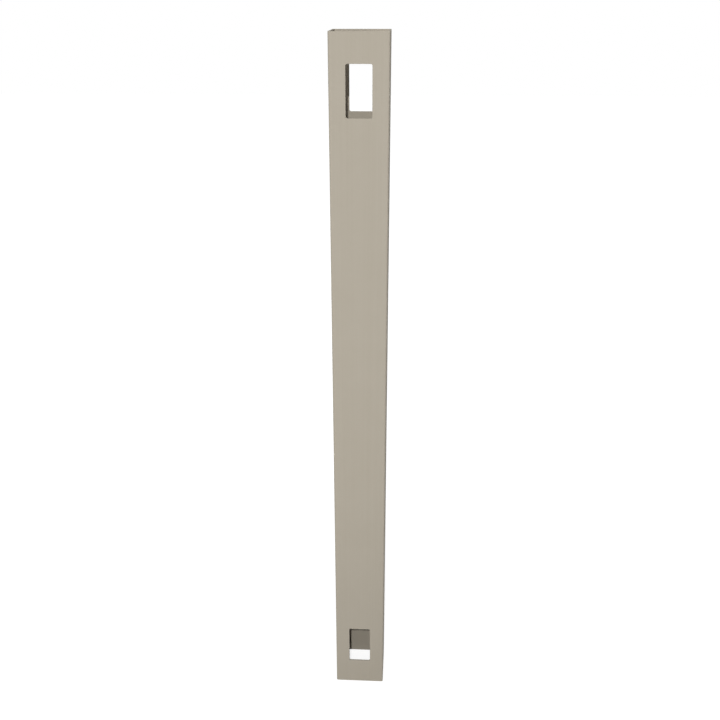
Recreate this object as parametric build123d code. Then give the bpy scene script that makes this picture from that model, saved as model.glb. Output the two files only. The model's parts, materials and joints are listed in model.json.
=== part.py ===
from build123d import *
import os

# Vinyl fence line post: one length of square hollow PVC extrusion, sawn to length, with
# an upper and a lower rail slot routed straight through its front and rear walls.
# Millimetres. The origin is at the middle of the base, +Z runs up the post, and the
# rails run along Y, in through the front wall (-Y) and out through the rear wall (+Y).

# Extruded section
post_width = 101.6
wall = 3.81
corner_radius = 3.175
least_inner_radius = 0.5

# Cut length
post_height = 1346.2

# Rail slots
slot_width = 44.45
slot_height = 86.4
slot_corner_radius = 3.175
lower_slot_margin = 56.5
upper_slot_margin = 50.0

# Sharp edges taken off after sawing and routing
edge_break = 0.4

# The die keeps the wall even round the corners, so the inside corner is the outside one
# less the wall, and never quite sharp.
hollow_width = post_width - 2 * wall
hollow_radius = max(corner_radius - wall, least_inner_radius)

lower_slot_centre = lower_slot_margin + slot_height / 2
upper_slot_centre = post_height - upper_slot_margin - slot_height / 2


def make_tube():
    """The plain extrusion: a rounded square with an even wall, standing on its sawn base."""
    with BuildPart() as tube:
        with BuildSketch():
            RectangleRounded(post_width, post_width, corner_radius)
            RectangleRounded(hollow_width, hollow_width, hollow_radius, mode=Mode.SUBTRACT)
        extrude(amount=post_height)
    return tube.part


def make_slot_cutters():
    """The two routed slots, each as one prism that passes through the front and rear walls."""
    with BuildPart() as cutters:
        with BuildSketch(Plane.XZ):
            with Locations((0, lower_slot_centre), (0, upper_slot_centre)):
                RectangleRounded(slot_width, slot_height, slot_corner_radius)
        extrude(amount=post_width, both=True)
    return cutters.part


def break_edges(post):
    """Takes the sharp edge off both sawn ends and off the slots where they open outside."""
    end_rims = post.edges().group_by(Axis.Z)[0] + post.edges().group_by(Axis.Z)[-1]
    walls_across_rails = post.faces().filter_by(Axis.Y).sort_by(Axis.Y)
    slot_rims = ShapeList()
    for outer_wall in (walls_across_rails[0], walls_across_rails[-1]):
        for rim in outer_wall.inner_wires():
            slot_rims += rim.edges()
    return chamfer(end_rims + slot_rims, edge_break)


line_post = break_edges(make_tube() - make_slot_cutters())

os.makedirs("parts", exist_ok=True)
export_step(line_post, "parts/line_post.step")
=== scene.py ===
# %% [markdown]
# # A vinyl fence line post
#
# The real post is one length of square hollow PVC. A die gives it its rounded square section,
# a saw cuts it to length, and a router opens two slots so that fence rails can pass through.
# This lesson dresses the measured solid of that post: a clean mesh with softened edges, a
# satin tan finish with the marks that the die, the saw and the router leave, and a plain
# white studio. The solid is loaded first, because every size and place below follows it.

# %% Load the measured post
import json
import math

import bpy
from mathutils import Matrix, Vector


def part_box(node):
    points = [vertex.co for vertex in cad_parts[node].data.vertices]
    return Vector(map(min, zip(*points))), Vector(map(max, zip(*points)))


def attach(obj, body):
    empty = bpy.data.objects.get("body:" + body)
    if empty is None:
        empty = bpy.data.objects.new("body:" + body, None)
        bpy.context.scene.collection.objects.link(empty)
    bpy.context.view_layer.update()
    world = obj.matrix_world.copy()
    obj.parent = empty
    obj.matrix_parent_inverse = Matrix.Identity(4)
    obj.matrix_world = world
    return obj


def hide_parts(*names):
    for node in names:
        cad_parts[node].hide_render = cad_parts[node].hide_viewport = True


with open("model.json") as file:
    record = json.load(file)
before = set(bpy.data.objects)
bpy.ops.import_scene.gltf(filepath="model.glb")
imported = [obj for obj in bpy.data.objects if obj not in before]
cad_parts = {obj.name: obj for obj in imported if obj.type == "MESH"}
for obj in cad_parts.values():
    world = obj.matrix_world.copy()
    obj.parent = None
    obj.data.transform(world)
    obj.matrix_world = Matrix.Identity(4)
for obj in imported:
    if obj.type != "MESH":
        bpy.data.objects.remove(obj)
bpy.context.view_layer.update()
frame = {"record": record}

MM_PER_METRE = 1000
LOW_CORNER, HIGH_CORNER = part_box("line_post")
POST_WIDTH = HIGH_CORNER.x - LOW_CORNER.x
POST_HEIGHT = HIGH_CORNER.z - LOW_CORNER.z
MOUNTS = {mount["name"]: Vector(mount["pos_m"]) for mount in frame["record"]["mounts"]}
LOWER_SLOT_CENTRE = MOUNTS["lower_rail_slot"].z
UPPER_SLOT_CENTRE = MOUNTS["upper_rail_slot"].z


def in_mm(*lengths):
    """Lengths in metres, written out in millimetres."""
    return " and ".join(f"{length * MM_PER_METRE:.1f}" for length in lengths) + " mm"


print("post width and height", in_mm(POST_WIDTH, POST_HEIGHT))
print("slot centres at", in_mm(LOWER_SLOT_CENTRE, UPPER_SLOT_CENTRE))

# %% [markdown]
# ## Sums with sockets
#
# Both the finish and the shape are made of nodes. Wiring them one by one is slow to write and
# hard to read, so one small class wraps a socket: a sum such as `1 - mask` adds its own Math
# node, and every other node comes from the one method `node`, which takes the node's type, its
# settings, and then the values or links of its sockets. It serves both kinds of tree.

# %% A socket that can do sums
class Wire:
    """One output socket of a node tree. Sums with it add Math nodes to the tree."""

    def __init__(self, tree, socket=None):
        self.tree = tree
        self.socket = socket

    def node(self, kind, settings=None, inputs=None, output=0):
        """Adds a node of that kind: settings first, then its sockets, and returns one output."""
        made = self.tree.nodes.new(kind)
        for name, value in (settings or {}).items():
            setattr(made, name, value)
        for key, value in (inputs or {}).items():
            if isinstance(value, Wire):
                self.tree.links.new(value.socket, made.inputs[key])
            else:
                made.inputs[key].default_value = value
        return Wire(self.tree, made.outputs[output] if made.outputs else None)

    def other(self, output):
        """Another output of the node that this one belongs to."""
        return Wire(self.tree, self.socket.node.outputs[output])

    def math(self, operation, first, second=0.0):
        return self.node("ShaderNodeMath", {"operation": operation}, {0: first, 1: second})

    def __add__(self, other):
        return self.math("ADD", self, other)

    def __sub__(self, other):
        return self.math("SUBTRACT", self, other)

    def __rsub__(self, other):
        return self.math("SUBTRACT", other, self)

    def __mul__(self, other):
        return self.math("MULTIPLY", self, other)

    def __truediv__(self, other):
        return self.math("DIVIDE", self, other)

    def __rtruediv__(self, other):
        return self.math("DIVIDE", other, self)

    def __gt__(self, other):
        return self.math("GREATER_THAN", self, other)

    def __lt__(self, other):
        return self.math("LESS_THAN", self, other)

    def __abs__(self):
        return self.math("ABSOLUTE", self)

    def larger(self, other):
        return self.math("MAXIMUM", self, other)

    __radd__ = __add__
    __rmul__ = __mul__


print("sums ready:", ", ".join(name for name in vars(Wire) if not name.startswith("__")))

# %% [markdown]
# ## Tools for both finishes
#
# A finish is a noise or two, a blend between two close tones, and one Principled shader. The noises
# read Object coordinates, which are metres on the post itself, so their scales are real sizes and
# the pattern stays put whatever the view. A Bump node at distance 1 then takes heights in metres.

# %% Helpers for the finishes
VINYL_IOR = 1.53
SHEEN_LEVEL = 0.20
MIX_FIRST_COLOUR = 6
MIX_SECOND_COLOUR = 7
MIX_COLOUR_OUTPUT = 2


def new_finish(name):
    """An empty material and a Wire to build it with."""
    material = bpy.data.materials.new(name)
    material.use_nodes = True
    material.node_tree.nodes.clear()
    return material, Wire(material.node_tree)


def stretched(start, place, scale):
    """The piece's own coordinates, squeezed or drawn out along each axis."""
    return start.node("ShaderNodeMapping", None, {"Vector": place, "Scale": scale})


def noise(start, place, scale, detail, roughness=0.5):
    """A soft noise between 0 and 1, with so many patches to the metre along each axis."""
    sockets = {"Scale": 1.0, "Detail": detail, "Roughness": roughness}
    sockets["Vector"] = stretched(start, place, scale)
    return start.node("ShaderNodeTexNoise", None, sockets, "Fac")


def blend_colours(start, amount, first, second):
    """The first colour at 0 and the second at 1. Mix has three pairs, so its colours go by number."""
    sockets = {"Factor": amount, MIX_FIRST_COLOUR: first, MIX_SECOND_COLOUR: second}
    return start.node("ShaderNodeMix", {"data_type": "RGBA"}, sockets, MIX_COLOUR_OUTPUT)


def finish_with(start, colour, roughness, height):
    """Ends a finish in one Principled shader, with the heights as real relief."""
    bump = {"Strength": 1.0, "Distance": 1.0, "Height": height}
    sockets = {
        "Base Color": colour,
        "Roughness": roughness,
        "IOR": VINYL_IOR,
        "Specular IOR Level": SHEEN_LEVEL,
        "Normal": start.node("ShaderNodeBump", None, bump),
    }
    shader = start.node("ShaderNodeBsdfPrincipled", None, sockets)
    start.node("ShaderNodeOutputMaterial", None, {"Surface": shader})


print("finishes share an index of refraction of", VINYL_IOR, "and a sheen level of", SHEEN_LEVEL)

# %% [markdown]
# ## The extruded skin
#
# Fence vinyl is PVC coloured right through, so it has no paint to chip: it shows one warm tan
# with a low satin sheen. What keeps it from looking like a flat colour is how it was made. The die
# draws fine lines and broad dull streaks along the post, the cooling walls ripple by a tenth of a
# millimetre over a hand's breadth, and the surface has a slight orange peel. They could be
# modelled, but they are far finer than the mesh, so a Bump node carries them.
# The same noises move the colour by a hundredth or two, and the roughness with it.
# Noise drawn out along Z gives the lines and streaks on all four walls at once.

# %% Finish of the skin
TAN = (0.452, 0.410, 0.340, 1.0)
TAN_SHADE = (0.432, 0.389, 0.318, 1.0)
SATIN = 0.74
INSIDE_ROUGHER = 0.10
WALL = 0.00381
GRAIN = {
    "draw_lines": {"scale": (620.0, 620.0, 1.6), "detail": 3.0},
    "streaks": {"scale": (110.0, 110.0, 0.7), "detail": 2.0},
    "ripple": {"scale": (16.0, 16.0, 5.0), "detail": 1.0},
    "mottle": {"scale": (9.0, 9.0, 9.0), "detail": 4.0, "roughness": 0.6},
    "peel": {"scale": (900.0, 900.0, 900.0), "detail": 1.0},
}
GRAIN_HEIGHT = {"draw_lines": 0.000022, "ripple": 0.00016, "peel": 0.000005}
NOISE_MIDDLE = 0.5
SHADE_MIDDLE = 0.4
SHADE_SWING = {"mottle": 1.4, "streaks": 0.6, "draw_lines": 1.2}
ROUGHNESS_SWING = {"mottle": 0.10, "streaks": 0.16, "draw_lines": 0.16}


def swing(grain, amounts):
    """How far the noises stand from their middle, each by its own amount, added up."""
    return sum((grain[name] - NOISE_MIDDLE) * amount for name, amount in amounts.items())


def make_vinyl_skin():
    material, start = new_finish("tan_vinyl_skin")
    place = start.node("ShaderNodeTexCoord", output="Object")
    grain = {name: noise(start, place, **look) for name, look in GRAIN.items()}

    along_x = start.node("ShaderNodeSeparateXYZ", None, {"Vector": place})
    across = abs(along_x).larger(abs(along_x.other("Y")))
    inside = across < POST_WIDTH / 2 - WALL / 2

    shade = SHADE_MIDDLE + swing(grain, SHADE_SWING)
    colour = blend_colours(start, shade, TAN, TAN_SHADE)
    roughness = SATIN + swing(grain, ROUGHNESS_SWING) + inside * INSIDE_ROUGHER
    height = sum(grain[name] * rise for name, rise in GRAIN_HEIGHT.items())
    finish_with(start, colour, roughness, height)
    return material


vinyl_skin = make_vinyl_skin()
print("skin finish with", len(vinyl_skin.node_tree.nodes), "nodes")

# %% [markdown]
# ## Sawn ends and routed slots
#
# Where a blade went through, the satin skin is gone. The cut shows the same colour a touch
# paler and duller, crossed by fine tool marks: a saw leaves them across the ends, a router
# leaves small scallops square to the slot's edge. A Wave texture gives evenly spaced marks, and
# a little distortion keeps them from looking ruled. One finish serves both kinds of cut: it
# reads its marks along X plus Z, so they cross the ends, the jambs and the sills alike.

# %% Finish of the cut faces
CUT_TAN = (0.470, 0.440, 0.368, 1.0)
CUT_TAN_SHADE = (0.435, 0.402, 0.330, 1.0)
CUT_ROUGHNESS = 0.84
ALONG_X_AND_Z = (1.0, 0.15, 1.0)
TOOL_MARKS = {"Scale": 150.0, "Distortion": 1.5, "Detail": 2.0}
TOOL_MARK_HEIGHT = 0.00003
TOOL_MARK_SHADE = 0.4
FUZZ = {"scale": (1400.0, 1400.0, 1400.0), "detail": 2.0}
FUZZ_HEIGHT = 0.00001
FUZZ_SHADE = 0.6
FUZZ_ROUGHNESS = 0.2


def make_cut_face():
    material, start = new_finish("cut_vinyl_face")
    place = start.node("ShaderNodeTexCoord", output="Object")
    bands = {"wave_type": "BANDS", "bands_direction": "DIAGONAL", "wave_profile": "SIN"}
    sockets = {"Vector": stretched(start, place, ALONG_X_AND_Z), **TOOL_MARKS}
    marks = start.node("ShaderNodeTexWave", bands, sockets, "Fac")
    fuzz = noise(start, place, **FUZZ)

    shade = marks * TOOL_MARK_SHADE + fuzz * FUZZ_SHADE
    colour = blend_colours(start, shade, CUT_TAN, CUT_TAN_SHADE)
    roughness = CUT_ROUGHNESS + (fuzz - NOISE_MIDDLE) * FUZZ_ROUGHNESS
    height = marks * TOOL_MARK_HEIGHT + fuzz * FUZZ_HEIGHT
    finish_with(start, colour, roughness, height)
    return material


cut_face = make_cut_face()
print("cut finish with", len(cut_face.node_tree.nodes), "nodes")

# %% [markdown]
# ## The post as a rule
#
# The post follows a rule from end to end, so Geometry Nodes can make it the way the factory does.
# The die's rounded square is carried up a straight line, which gives the outside with clean long
# walls. A smaller square carried the same way is the hollow, and a Boolean takes it out. The
# router's slot is one more rounded prism, set on two points at the two rail heights, and a second
# Boolean takes both out of the front and rear walls. A box with hand-placed cuts would look the
# same, but here the sizes are inputs of the tree, so another post is a change of numbers.

# %% Sizes of the section and the slots
CORNER_RADIUS = 0.003175
INNER_CORNER_RADIUS = 0.0005
SLOT_WIDTH = 0.04445
SLOT_HEIGHT = 0.0864
SLOT_CORNER_RADIUS = 0.003175
CORNER_STEPS = 12
INNER_CORNER_STEPS = 3
SLOT_CORNER_STEPS = 8
SLOTS_IN_POST = 2
POST_SIZES = {
    "Width": POST_WIDTH,
    "Height": POST_HEIGHT,
    "Wall": WALL,
    "Corner Radius": CORNER_RADIUS,
    "Inner Corner Radius": INNER_CORNER_RADIUS,
    "Slot Width": SLOT_WIDTH,
    "Slot Height": SLOT_HEIGHT,
    "Slot Corner Radius": SLOT_CORNER_RADIUS,
    "Lower Slot Centre": LOWER_SLOT_CENTRE,
    "Upper Slot Centre": UPPER_SLOT_CENTRE,
}
POST_FINISHES = {"Skin": vinyl_skin, "Cut Face": cut_face}
print("wall and corner radius", in_mm(WALL, CORNER_RADIUS))
print("slot width and height", in_mm(SLOT_WIDTH, SLOT_HEIGHT))

# %% [markdown]
# ## Outlines, prisms and cuts
#
# Three moves make the whole post. An outline is a rectangle with filleted corners. A prism
# carries an outline along a straight line and closes both ends, so that it is a true solid. A
# cut takes one solid out of another with the exact solver, which keeps flat walls flat.

# %% Helpers for the tree
def add_tree_inputs(tree):
    """Adds the post's inputs, and returns the identifier of each one by its name."""
    tree.interface.new_socket("Post", in_out="OUTPUT", socket_type="NodeSocketGeometry")
    kinds = {name: "NodeSocketFloat" for name in POST_SIZES}
    kinds.update({name: "NodeSocketMaterial" for name in POST_FINISHES})
    identifiers = {}
    for name, kind in kinds.items():
        socket = tree.interface.new_socket(name, in_out="INPUT", socket_type=kind)
        identifiers[name] = socket.identifier
    return identifiers


def rounded_outline(start, width, height, radius, steps):
    """A closed rectangle with rounded corners, each corner in so many steps."""
    sides = {"Width": width, "Height": height}
    outline = start.node("GeometryNodeCurvePrimitiveQuadrilateral", {"mode": "RECTANGLE"}, sides)
    corners = {"Curve": outline, "Count": steps, "Radius": radius}
    return start.node("GeometryNodeFilletCurve", {"mode": "POLY"}, corners)


def along(start, axis, distance):
    """A point on one axis."""
    return start.node("ShaderNodeCombineXYZ", None, {axis: distance})


def prism(start, outline, axis, first, last):
    """A closed solid: an outline carried straight along an axis from one distance to another."""
    ends = {"Start": along(start, axis, first), "End": along(start, axis, last)}
    line = start.node("GeometryNodeCurvePrimitiveLine", {"mode": "POINTS"}, ends)
    line = start.node("GeometryNodeSetCurveNormal", {"mode": "Z_UP"}, {"Curve": line})
    sockets = {"Curve": line, "Profile Curve": outline, "Fill Caps": True}
    return start.node("GeometryNodeCurveToMesh", None, sockets)


def cut_away(start, solid, cutter):
    settings = {"operation": "DIFFERENCE", "solver": "EXACT"}
    return start.node("GeometryNodeMeshBoolean", settings, {"Mesh 1": solid, "Mesh 2": cutter})


print("helpers ready for", len(POST_SIZES), "sizes and", len(POST_FINISHES), "finishes")

# %% [markdown]
# ## The tube and its slots
#
# Each function adds its part of the tree. The hollow and the slots run past the walls that they
# go through, so that no thin skin is left where two faces would meet. The slot is made once and
# set on two points, as the router makes the same cut at both rail heights.

# %% The tube and its slots
def make_tube(start, size):
    """The plain extrusion: the die's outline carried up the post, less its hollow."""
    width = size["Width"]
    height = size["Height"]
    wall = size["Wall"]
    clear = width - wall * 2
    outside = rounded_outline(start, width, width, size["Corner Radius"], CORNER_STEPS)
    inside = rounded_outline(start, clear, clear, size["Inner Corner Radius"], INNER_CORNER_STEPS)
    bar = prism(start, outside, "Z", 0.0, height)
    hollow = prism(start, inside, "Z", 0 - wall, height + wall)
    return cut_away(start, bar, hollow)


def make_slots(start, size):
    """The router's path carried through the post, at both rail heights."""
    corner = size["Slot Corner Radius"]
    path = rounded_outline(start, size["Slot Width"], size["Slot Height"], corner, SLOT_CORNER_STEPS)
    slot = prism(start, path, "Y", 0 - size["Width"], size["Width"])
    rail_heights = {
        "Count": SLOTS_IN_POST,
        "Start Location": along(start, "Z", size["Lower Slot Centre"]),
        "Offset": along(start, "Z", size["Upper Slot Centre"]),
    }
    between = {"mode": "END_POINTS", "count_mode": "TOTAL"}
    points = start.node("GeometryNodeMeshLine", between, rail_heights)
    slots = start.node("GeometryNodeInstanceOnPoints", None, {"Points": points, "Instance": slot})
    return start.node("GeometryNodeRealizeInstances", None, {"Geometry": slots})


print("corners in", CORNER_STEPS, "steps outside and", INNER_CORNER_STEPS, "inside")
print(SLOTS_IN_POST, "slots with corners in", SLOT_CORNER_STEPS, "steps")

# %% [markdown]
# ## Which faces a blade made
#
# The finishes could be painted on face by face, but the faces' own directions tell them apart. A
# face that looks up or down was sawn, or is the sill or head of a slot. A sideways face no
# further out than a slot's edge is one of its jambs. Those get the cut finish, and the rest
# keep the skin.

# %% The whole tree
LOOKS_THAT_WAY = 0.5


def find_cut_faces(start, size):
    """1 on the sawn and routed faces, 0 on the skin."""
    facing = start.node("GeometryNodeInputNormal", output="True Normal")
    facing = start.node("ShaderNodeSeparateXYZ", None, {"Vector": facing})
    spot = start.node("GeometryNodeInputPosition")
    across = start.node("ShaderNodeSeparateXYZ", None, {"Vector": spot})
    sawn = abs(facing.other("Z")) > LOOKS_THAT_WAY
    sideways = abs(facing.other("Y")) < LOOKS_THAT_WAY
    near_a_slot = abs(across) < size["Slot Width"] / 2 + size["Wall"]
    return sawn.larger(sideways * near_a_slot)


def make_post_tree():
    """The post's Geometry Nodes tree, and the identifier of each of its inputs by name."""
    tree = bpy.data.node_groups.new("routed_hollow_post", "GeometryNodeTree")
    identifiers = add_tree_inputs(tree)
    given = tree.nodes.new("NodeGroupInput")
    size = {name: Wire(tree, given.outputs[name]) for name in identifiers}
    start = Wire(tree)

    post = cut_away(start, make_tube(start, size), make_slots(start, size))
    post = start.node("GeometryNodeSetShadeSmooth", {"domain": "FACE"}, {"Geometry": post})
    post = start.node("GeometryNodeRealizeInstances", None, {"Geometry": post})
    skin = {"Geometry": post, "Material": size["Skin"]}
    post = start.node("GeometryNodeSetMaterial", None, skin)
    cuts = {"Geometry": post, "Material": size["Cut Face"], "Selection": find_cut_faces(start, size)}
    post = start.node("GeometryNodeSetMaterial", None, cuts)
    start.node("NodeGroupOutput", None, {"Post": post})
    return tree, identifiers


post_tree, input_of = make_post_tree()
print("post tree with", len(post_tree.nodes), "nodes and", len(input_of), "inputs")

# %% [markdown]
# ## From the rule to a plain mesh
#
# The tree runs as a modifier. A Bevel after it rounds every sharp edge by the small amount that
# a scraper takes off, and Weighted Normal keeps the long walls flat beside their rounded
# corners. The evaluated result then becomes a plain mesh, which stands for the measured solid.

# %% Make the post
EDGE_BREAK = 0.0004
EDGE_BREAK_STEPS = 3
SHARP_FROM = math.radians(40)
LARGEST_FACES_LEAD = 100


def make_post():
    post = bpy.data.objects.new("line_post_body", bpy.data.meshes.new("line_post_rule"))
    bpy.context.scene.collection.objects.link(post)
    rule = post.modifiers.new("rule", "NODES")
    rule.node_group = post_tree
    for name, value in {**POST_SIZES, **POST_FINISHES}.items():
        rule[input_of[name]] = value
    softened = post.modifiers.new("softened_edges", "BEVEL")
    softened.width = EDGE_BREAK
    softened.segments = EDGE_BREAK_STEPS
    softened.limit_method = "ANGLE"
    softened.angle_limit = SHARP_FROM
    flat_walls = post.modifiers.new("flat_walls", "WEIGHTED_NORMAL")
    flat_walls.weight = LARGEST_FACES_LEAD
    depsgraph = bpy.context.evaluated_depsgraph_get()
    mesh = bpy.data.meshes.new_from_object(post.evaluated_get(depsgraph), depsgraph=depsgraph)
    post.modifiers.clear()
    post.data = mesh
    mesh.name = "line_post_body"
    return post


line_post_body = make_post()
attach(line_post_body, "root")
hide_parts("line_post")
post_mesh = line_post_body.data
print("post mesh with", len(post_mesh.polygons), "faces and", len(post_mesh.materials), "finishes")

# %% [markdown]
# ## A white studio
#
# The post stands on a plain pale floor against white. For the light that bounces about the room
# the floor is an ordinary pale surface. To the camera, and in reflections, it also glows: next to
# the post the glow and the lamps together come close to white, so that a shadow still shows there,
# and further out the glow alone is a white of strength 1, so that the floor meets the white
# surroundings without a line.

# %% Floor
FLOOR_REACH = 12.0
FLOOR_CORNERS = [(-1, -1), (1, -1), (1, 1), (-1, 1)]
FLOOR_PALE = (0.30, 0.30, 0.29, 1.0)
FLOOR_SHOWN = (0.30, 0.30, 0.30, 1.0)
WHITE = (1.0, 1.0, 1.0, 1.0)
BLACK = (0.0, 0.0, 0.0, 1.0)
GLOW_BY_THE_POST = 0.82
FULL_WHITE_FROM = 1.1


def seen_directly(start):
    """1 for camera, mirror and glass rays, 0 for light that bounces about the room."""
    camera = start.node("ShaderNodeLightPath", output="Is Camera Ray")
    return camera.larger(camera.other("Is Glossy Ray")).larger(camera.other("Is Transmission Ray"))


def make_floor_finish():
    material, start = new_finish("white_floor")
    direct = seen_directly(start)
    place = start.node("ShaderNodeTexCoord", output="Object")
    away = start.node("ShaderNodeVectorMath", {"operation": "LENGTH"}, {0: place}, "Value")
    ramp = {"From Max": FULL_WHITE_FROM, "To Min": GLOW_BY_THE_POST, "To Max": 1.0, "Value": away}
    glow = start.node("ShaderNodeMapRange", {"clamp": True}, ramp) * direct
    paint = blend_colours(start, direct, FLOOR_PALE, FLOOR_SHOWN)
    pale = start.node("ShaderNodeBsdfDiffuse", None, {"Color": paint})
    light = blend_colours(start, glow, BLACK, WHITE)
    white = start.node("ShaderNodeEmission", None, {"Color": light})
    surface = start.node("ShaderNodeAddShader", None, {0: pale, 1: white})
    start.node("ShaderNodeOutputMaterial", None, {"Surface": surface})
    return material


def make_floor():
    corners = [(x * FLOOR_REACH, y * FLOOR_REACH, LOW_CORNER.z) for x, y in FLOOR_CORNERS]
    mesh = bpy.data.meshes.new("studio_floor")
    mesh.from_pydata(corners, [], [range(len(corners))])
    mesh.materials.append(make_floor_finish())
    floor = bpy.data.objects.new("studio_floor", mesh)
    bpy.context.scene.collection.objects.link(floor)


make_floor()
print("floor reaches", FLOOR_REACH, "m each way, full white from", FULL_WHITE_FROM, "m")

# %% [markdown]
# ## Surrounding light
#
# The surroundings are white to the eye and only a weak even light to the post. One Background
# shader does both: its strength is 1 for the rays that see it directly, and low for the rest.

# %% Surroundings
AMBIENT = 0.14


def make_surroundings():
    world = bpy.data.worlds.new("white_surroundings")
    world.use_nodes = True
    world.node_tree.nodes.clear()
    start = Wire(world.node_tree)
    direct = seen_directly(start)
    strength = direct + (1 - direct) * AMBIENT
    light = start.node("ShaderNodeBackground", None, {"Color": WHITE, "Strength": strength})
    start.node("ShaderNodeOutputWorld", None, {"Surface": light})
    bpy.context.scene.world = world


make_surroundings()
print("even light of strength", AMBIENT)

# %% [markdown]
# ## Lamps
#
# Each lamp has one task. A small one stands far off, straight in front of the slotted wall and well
# above it: it reaches down through the slots onto the inside of the rear wall, with a crisp edge,
# and leaves the side walls to the surroundings. A soft one high over the front looks down into the
# open top, and lifts the shade inside the upper slot. A soft one at knee height fills the front,
# so that the light fades only a little towards the foot. A low one behind keeps the back and the
# left wall from going dark. Its light only grazes the floor, so the shadow that it throws forward
# hardly shows. A weak one at the right only opens up the shade there, so that the right edge
# stays a thin dark line.

# %% Place the lamps
POST_MIDDLE = (LOW_CORNER + HIGH_CORNER) / 2
LAMPS = {
    "front_lamp": {"place": (0.07, -4.2, 3.83), "size": 0.12, "power": 163.0},
    "top_lamp": {"place": (0.0, -1.0, 3.0), "size": 0.6, "power": 8.0},
    "fill_lamp": {"place": (-0.62, -1.30, 0.48), "size": 0.4, "power": 5.5},
    "back_lamp": {"place": (-2.5, 2.3, 0.16), "size": 0.3, "power": 82.0},
    "side_lamp": {"place": (2.6, 0.25, 0.8), "size": 0.8, "power": 11.0},
}


def add_lamp(name, place, size, power):
    """A round lamp that faces the middle of the post, out of the camera's sight."""
    lamp = bpy.data.lights.new(name, "AREA")
    lamp.shape = "DISK"
    lamp.size = size
    lamp.energy = power
    holder = bpy.data.objects.new(name, lamp)
    holder.location = place
    holder.rotation_euler = (POST_MIDDLE - Vector(place)).to_track_quat("-Z", "Y").to_euler()
    holder.visible_camera = False
    bpy.context.scene.collection.objects.link(holder)


for name, lamp in LAMPS.items():
    add_lamp(name, **lamp)
    print(name, lamp["power"], "watts")

# %% [markdown]
# ## Camera
#
# The camera stands a little above the post's top and a hand's breadth to its right, looking
# down, so the post narrows towards its base. Its place, turn and lens were found by matching
# the post's own edges, whose sizes are known, to their places in a square picture.

# %% Place the camera
CAMERA_PLACE = Vector((0.0798, -1.5192, 1.3982))
TURN_LEFT = math.radians(3.058)
LOOK_DOWN = math.radians(23.036)
ROLL = math.radians(-0.063)
PICTURE_PIXELS = 720
FOCAL_PIXELS = 856.4
SENSOR_MM = 36.0

camera = bpy.data.objects.new("camera", bpy.data.cameras.new("camera"))
bpy.context.scene.collection.objects.link(camera)
camera.data.sensor_width = SENSOR_MM
camera.data.lens = FOCAL_PIXELS / PICTURE_PIXELS * SENSOR_MM
camera.matrix_world = (
    Matrix.Translation(CAMERA_PLACE)
    @ Matrix.Rotation(TURN_LEFT, 4, "Z")
    @ Matrix.Rotation(math.pi / 2 - LOOK_DOWN, 4, "X")
    @ Matrix.Rotation(ROLL, 4, "Z")
)
bpy.context.scene.camera = camera
bpy.context.scene.view_settings.view_transform = "Standard"
print(f"camera with a {camera.data.lens:.1f} mm lens")

# %% [markdown]
# ## Bring the scene up to date
#
# Dressing the solid must not change its size. The scene is brought up to date once every piece is in
# place.

# %% Update the scene
bpy.context.view_layer.update()
